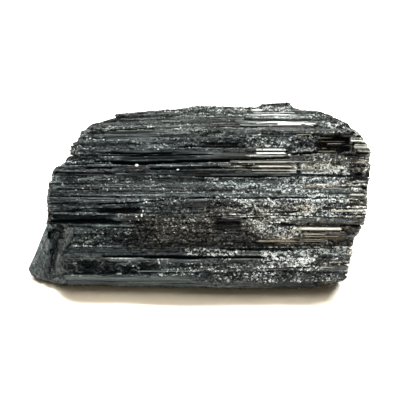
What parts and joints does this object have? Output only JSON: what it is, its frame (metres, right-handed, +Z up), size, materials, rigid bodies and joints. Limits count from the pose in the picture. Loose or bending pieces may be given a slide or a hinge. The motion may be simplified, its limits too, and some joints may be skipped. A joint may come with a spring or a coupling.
{
  "type": "raw black tourmaline crystal",
  "caption": "Raw lump of black tourmaline: parallel striated prisms grown together, with a low ledge along the front and rough broken ends, lying on its flattest side.",
  "frame": {"origin": "bottom centre of the bounding box, on the surface the lump rests on", "axes": "+X along the prisms, -Y towards the low ledge at the front, +Z up"},
  "size_m": [0.0994, 0.052, 0.0288],
  "materials": {
    "schorl": "glassy striated prism faces, duller granular broken faces"
  },
  "bodies": {
    "root": {"tourmaline_crystal": "schorl"}
  },
  "joints": []
}
